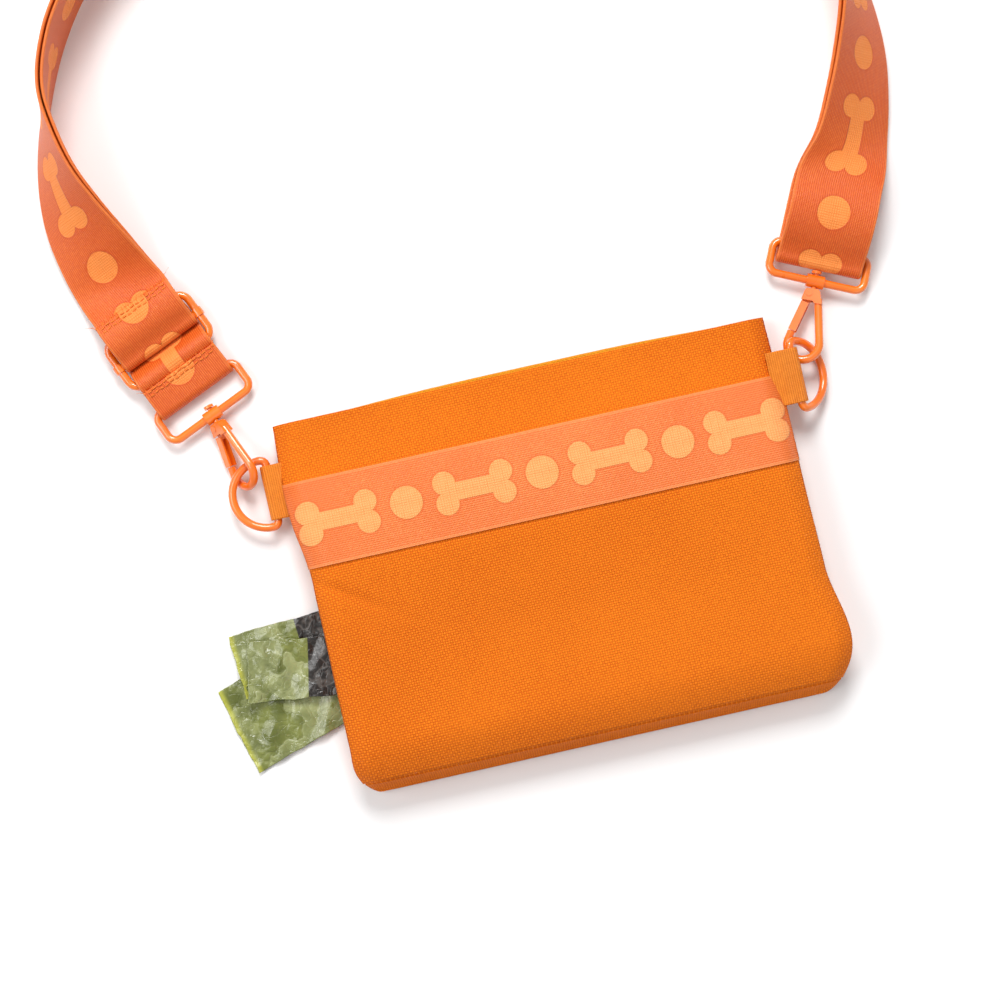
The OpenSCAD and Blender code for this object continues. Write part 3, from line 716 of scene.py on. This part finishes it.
def smooth_route(route, spacing):
    """Curve through the stops with points about a spacing apart: cubic Hermite pieces over the distance
    between stops, where each stop's slope favours its nearer neighbour."""
    stop_at = np.array([np.concatenate(s) for s in route])
    reach = np.linalg.norm(np.diff(stop_at[:, :3], axis=0), axis=1)[:, None]
    rate = np.diff(stop_at, axis=0) / reach
    slope = (rate[:-1] * reach[1:] + rate[1:] * reach[:-1]) / (reach[:-1] + reach[1:])
    slope = np.concatenate([rate[:1], slope, rate[-1:]])
    count = np.maximum(2, np.round(reach[:, 0] / spacing)).astype(int)
    k = np.repeat(np.arange(len(count)), count)
    t = (np.arange(count.sum()) - np.repeat(np.cumsum(count) - count, count)) / count[k]
    k, t = np.append(k, len(count) - 1), np.append(t, 1.0)[:, None]
    q = reach[k]
    made = ((1 + 2 * t) * (1 - t) ** 2 * stop_at[k] + t * (1 - t) ** 2 * q * slope[k]
            + t * t * (3 - 2 * t) * stop_at[k + 1] + t * t * (t - 1) * q * slope[k + 1])
    return made[:, :3], unit(made[:, 3:])


path, across = smooth_route(ROUTE, 1.1)
strap, strap_length = sweep("strap_ribbon", path, across, rounded_strip(38, WEBBING_T, 40, 4), STRAP)
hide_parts("strap_webbing")
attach(strap, "pouch")


# ---------------------------------------------------------------- sewn strap ends
FRAY = thread_finish("strap_thread", (0.92, 0.26, 0.04), (0.66, 0.10, 0.008))


def strap_point(side, s, z, w):
    """Points a distance w across the strap from its middle, at distance s along it from the ring's bar."""
    base = np.array([BAR[side][0], BAR[side][1], 0.0]) + s * HEADING[side]
    p = base[None] + np.asarray(w)[:, None] * INWARD[side][None]
    p[:, 2] = z
    return p


def strap_rows(name, rows):
    """Rows of stitches across the strap, each given as (distance along, height), a little wavy."""
    w = np.linspace(-17.2, 17.2, 60)
    for k, (s, z) in enumerate(rows):
        path = strap_point(LEFT, s, z, w) + HEADING[LEFT] * (0.25 * np.sin(w * 0.9 + k))[:, None]
        row = stitches(f"{name}_{k}", path, np.broadcast_to(np.array([0, 0, 1.0]), path.shape),
                       2.1, 0.5, FRAY, 0.75, 0.1)
        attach(row, "pouch")


def frayed(name, s, z, spread, seed, count=46):
    """Loose thread ends along a cut edge: thin bent tubes, longer at the two corners. One joined mesh."""
    rng = np.random.default_rng(seed)
    w = np.sort(rng.uniform(-18.6, 18.6, count))
    reach = spread * (0.35 + 0.65 * rng.random(count)) * (1 + 1.6 * (np.abs(w) > 16.5))
    lean = rng.uniform(-0.8, 0.8, count) + 1.6 * np.sign(w) * (np.abs(w) > 16.5)
    start = strap_point(LEFT, s - 1.2, z, w)
    t = np.linspace(0, 1, 6)
    line = (start[:, None] + (t * (reach[:, None] + 1.2))[..., None] * HEADING[LEFT]
            + (t ** 2 * (lean * reach)[:, None])[..., None] * INWARD[LEFT])
    line[..., 2] += 0.12 - 0.9 * t[None] ** 2 * rng.random(count)[:, None]
    a = np.linspace(0, 2 * math.pi, 6, endpoint=False)
    ring = np.cos(a)[:, None] * INWARD[LEFT] + np.sin(a)[:, None] * np.array([0, 0, 1.0])
    thin = 0.24 * (1 - 0.6 * t)
    points = line[:, :, None] + ring[None, None] * thin[None, :, None, None]
    rows, around = 6, 6
    body = np.array(quads(rows, around, 0, True))
    caps = [list(range(around)), list(range((rows - 1) * around, rows * around))[::-1]]
    faces = (body[None] + (np.arange(count) * rows * around)[:, None, None]).reshape(-1, 4).tolist()
    for k in range(count):
        faces += [[v + k * rows * around for v in cap] for cap in caps]
    uv = points.reshape(-1, 3)[:, :2]
    piece = add_piece(name, points.reshape(-1, 3), faces, uv, FRAY)
    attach(piece, "pouch")


strap_rows("stitch_flap", [(41.5, 13.15), (43.4, 12.6)])
strap_rows("stitch_ring_end", [(7.6, 8.75), (9.4, 8.95)])
frayed("fray_flap", 45.0, 11.9, 1.5, 3)
frayed("fray_ring_end", 10.5, 8.9, 0.9, 6, 30)


# ---------------------------------------------------------------- bag roll, its pocket and the bag ends

def turned(name, radius_at, y, finish, around=64):
    """A closed shape round the roll's axis from a list of (radius, distance along it)."""
    a = np.linspace(0, 2 * math.pi, around, endpoint=False)
    centre = np.array([-90.5, 0, 11.9])
    ring = np.stack([np.cos(a), 0 * a, np.sin(a)], -1)
    points = centre + np.asarray(radius_at)[:, None, None] * ring[None]
    points = points + np.asarray(y)[:, None, None] * [0, 1, 0]
    rows = len(y)
    index = np.arange(rows * around).reshape(rows, around)
    i, j = np.meshgrid(np.arange(rows), np.arange(around), indexing="ij")
    after, beside = (i + 1) % rows, (j + 1) % around
    faces = np.stack([index[i, j], index[i, beside], index[after, beside], index[after, j]], -1)
    uv = np.stack(np.broadcast_arrays(a[None] * 9.5, np.asarray(y)[:, None]), -1).reshape(-1, 2)
    return add_piece(name, points.reshape(-1, 3), faces.reshape(-1, 4).tolist(), uv, finish)


FILM_ROLL = film_finish("bag_roll_film")
steps = np.linspace(0, 1, 60)
outer = 9.35 + 0.12 * np.sin(steps * 40)
end_r = np.linspace(9.2, 3.7, 16)
ridge = 0.22 * np.sin(end_r * 9)
radius = np.concatenate([outer, end_r, end_r[::-1]])
along = np.concatenate([-54.7 + 59.4 * steps, 4.8 - 0.2 + ridge, -54.8 + 0.2 + ridge[::-1]])
roll = turned("bag_roll_wound", radius, along, FILM_ROLL)
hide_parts("bag_roll")
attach(roll, "bag_roll")

# The pocket: cloth that passes over the roll and down on its inner side, dipping a little at its two ends.
u = np.linspace(0, 1, 60)[:, None]
v = np.linspace(-58.2, 8.2, 50)[None, :]
bulge = 0.5 * np.sin(np.pi * (v + 58.2) / 66.4)
turn = np.clip((u - 0.45) / 0.35, 0, 1) * math.pi / 2
flat = np.clip(u / 0.45, 0, 1)
rise = np.clip((u - 0.8) / 0.2, 0, 1)
px = -103.2 + 19.0 * flat + 4.9 * np.sin(turn) + bulge * (u > 0.5)
pz = 22.4 - 5.0 * (1 - np.cos(turn)) - 15.4 * rise + 0.15 * ripple(px, v, 31, longest=30, shortest=8)
end = np.clip(np.abs(v + 25) - 30, 0, 3.2) / 3.2
pz = pz - 1.2 * end ** 2
pocket = thick_sheet("dispenser_pocket_cloth", np.ascontiguousarray(stack(px, v, pz)[::-1]),
                     stack(px + 0 * v, v + 0 * px, 0)[::-1, :, :2], 0.6, LINING)
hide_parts("dispenser_pocket")
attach(pocket, "pouch")


def bag_end(name, node, corners, lift, outer_z, seed, black_from=None, yellow=0.7, across=90, rows=110):
    """Thin crumpled film between four corners, from its outer edge to the slot.
    Crumples are creases where slanted ridges of seeded noise meet; the outer edge droops to the floor."""
    c = np.array(corners, float)
    u = np.linspace(0, 1, rows)[:, None]
    v = np.linspace(0, 1, across)[None, :]
    outer_edge = c[0] + (c[3] - c[0]) * v[..., None]
    inner_edge = c[1] + (c[2] - c[1]) * v[..., None]
    flat = outer_edge + (inner_edge - outer_edge) * u[..., None]
    x, y = flat[..., 0], flat[..., 1]
    rng = np.random.default_rng(seed)
    fold = np.zeros_like(x)
    for k in range(9):
        angle = rng.uniform(-0.9, 0.9) + (math.pi / 2 if k % 3 == 0 else 0)
        size, phase = rng.uniform(6, 22), rng.uniform(0, 10)
        bend = 3 * ripple(x, y, seed + 40 + k, waves=3, longest=40, shortest=15)
        d = (x * math.cos(angle) + y * math.sin(angle) + bend + phase) / size
        fold += (1 - np.abs((d % 1) * 2 - 1) * 2) * size / 42
    wave = 0.55 * fold + 0.5 * ripple(x, y, seed, longest=34, shortest=7)
    free = 1 - ease((u - 0.62) / 0.3)
    z = lift + (outer_z - lift) * (1 - ease(u * 1.1)) + wave * (0.25 + 0.95 * free)
    jag = 0.6 * ripple(y * 1.0, y * 0, seed + 7, longest=12, shortest=2.5)
    x = x + jag * (1 - u) ** 6
    inward = np.where(v < 0.5, 1, -1) * np.abs(2 * v - 1) ** 6
    y = y + 0.45 * ripple(x, 0 * x, seed + 9, longest=16, shortest=3) * inward
    z = np.maximum(z, 0.35)
    finish = film_finish(name + "_film", black_from, yellow)
    distance = np.linalg.norm(flat - outer_edge, axis=-1)
    sheet = thick_sheet(name, np.ascontiguousarray(stack(x, y, z)[:, ::-1]),
                        stack(distance, y, 0)[:, ::-1, :2], 0.16, finish)
    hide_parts(node)
    return sheet


tails = [
    bag_end("bag_end_upper", "bag_tail_upper", [(-150, -2.3), (-100, 0.8), (-100, -28), (-148, -31)],
            4.5, 2.6, 5, 29.5),
    bag_end("bag_end_middle", "bag_tail_middle", [(-142.4, -6), (-100, -12.4),
                                               (-100, -38.2), (-147.5, -32.7)],
            5.9, 4.6, 17, 26.5, 0.0),
    bag_end("bag_end_lower", "bag_tail_lower", [(-160.2, -25.4), (-100, -4), (-100, -47.4), (-150, -63.9)],
            2.9, 1.1, 29),
]
for tail in tails:
    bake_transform(tail)



# ---------------------------------------------------------------- finishes of the hard pieces

def dress(finish, *names):
    for name in names:
        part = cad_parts[name]
        part.data.materials.clear()
        part.data.materials.append(finish)
        part.data.polygons.foreach_set("material_index", np.zeros(len(part.data.polygons), dtype=np.int32))


dress(COATED, "d_ring_left", "d_ring_right", "strap_ring_left", "strap_ring_right", "hook_left", "hook_right",
      "gate_left", "gate_right", "gate_pin_left", "gate_pin_right", "slider_frame", "slider_bar")
dress(STEEL, "gate_spring_left", "gate_spring_right")
dress(MAGNET, "magnets_back", "magnets_front")
dress(CARD, "roll_core")


# ---------------------------------------------------------------- room, light and camera

def pale_floor():
    mesh = bpy.data.meshes.new("floor")
    r, z = 3.0, -0.0006
    mesh.from_pydata([(-r, -r, z), (r, -r, z), (r, r, z), (-r, r, z)], [], [(0, 1, 2, 3)])
    floor = bpy.data.objects.new("floor", mesh)
    bpy.context.scene.collection.objects.link(floor)
    f = Finish("floor", Roughness=0.7, Specular_IOR_Level=0.2)
    f.feed("Base Color", f.mix(f.noise(3.0, 2.0), (0.93, 0.93, 0.93), (0.95, 0.95, 0.95)))
    mesh.materials.append(f.material)


def soft_box(name, place, target, size, power, colour=(1.0, 1.0, 1.0)):
    light = bpy.data.lights.new(name, "AREA")
    light.shape, light.size, light.energy, light.color = "SQUARE", size, power, colour
    lamp = bpy.data.objects.new(name, light)
    bpy.context.scene.collection.objects.link(lamp)
    lamp.location = place
    direction = mathutils.Vector(target) - mathutils.Vector(place)
    lamp.rotation_euler = direction.to_track_quat("-Z", "Y").to_euler()


pale_floor()
soft_box("key", (0.10, 1.15, 1.25), (0, 0, 0), 0.6, 22)
soft_box("fill", (-0.95, 0.25, 1.2), (0, 0, 0), 0.8, 9)
soft_box("low_fill", (0.55, -1.1, 1.1), (0, 0, 0), 1.2, 3)

world = bpy.data.worlds.new("room")
world.use_nodes = True
world.node_tree.nodes["Background"].inputs["Color"].default_value = (1, 1, 1, 1)
world.node_tree.nodes["Background"].inputs["Strength"].default_value = 0.42
bpy.context.scene.world = world
bpy.context.scene.view_settings.view_transform = "Standard"

camera = bpy.data.objects.new("camera", bpy.data.cameras.new("camera"))
bpy.context.scene.collection.objects.link(camera)
camera.data.lens, camera.data.sensor_width = 85, 36
camera.location = (-0.0204, 0.0304, 1.04)
camera.rotation_euler = (0, 0, math.radians(-12.6))
bpy.context.scene.camera = camera
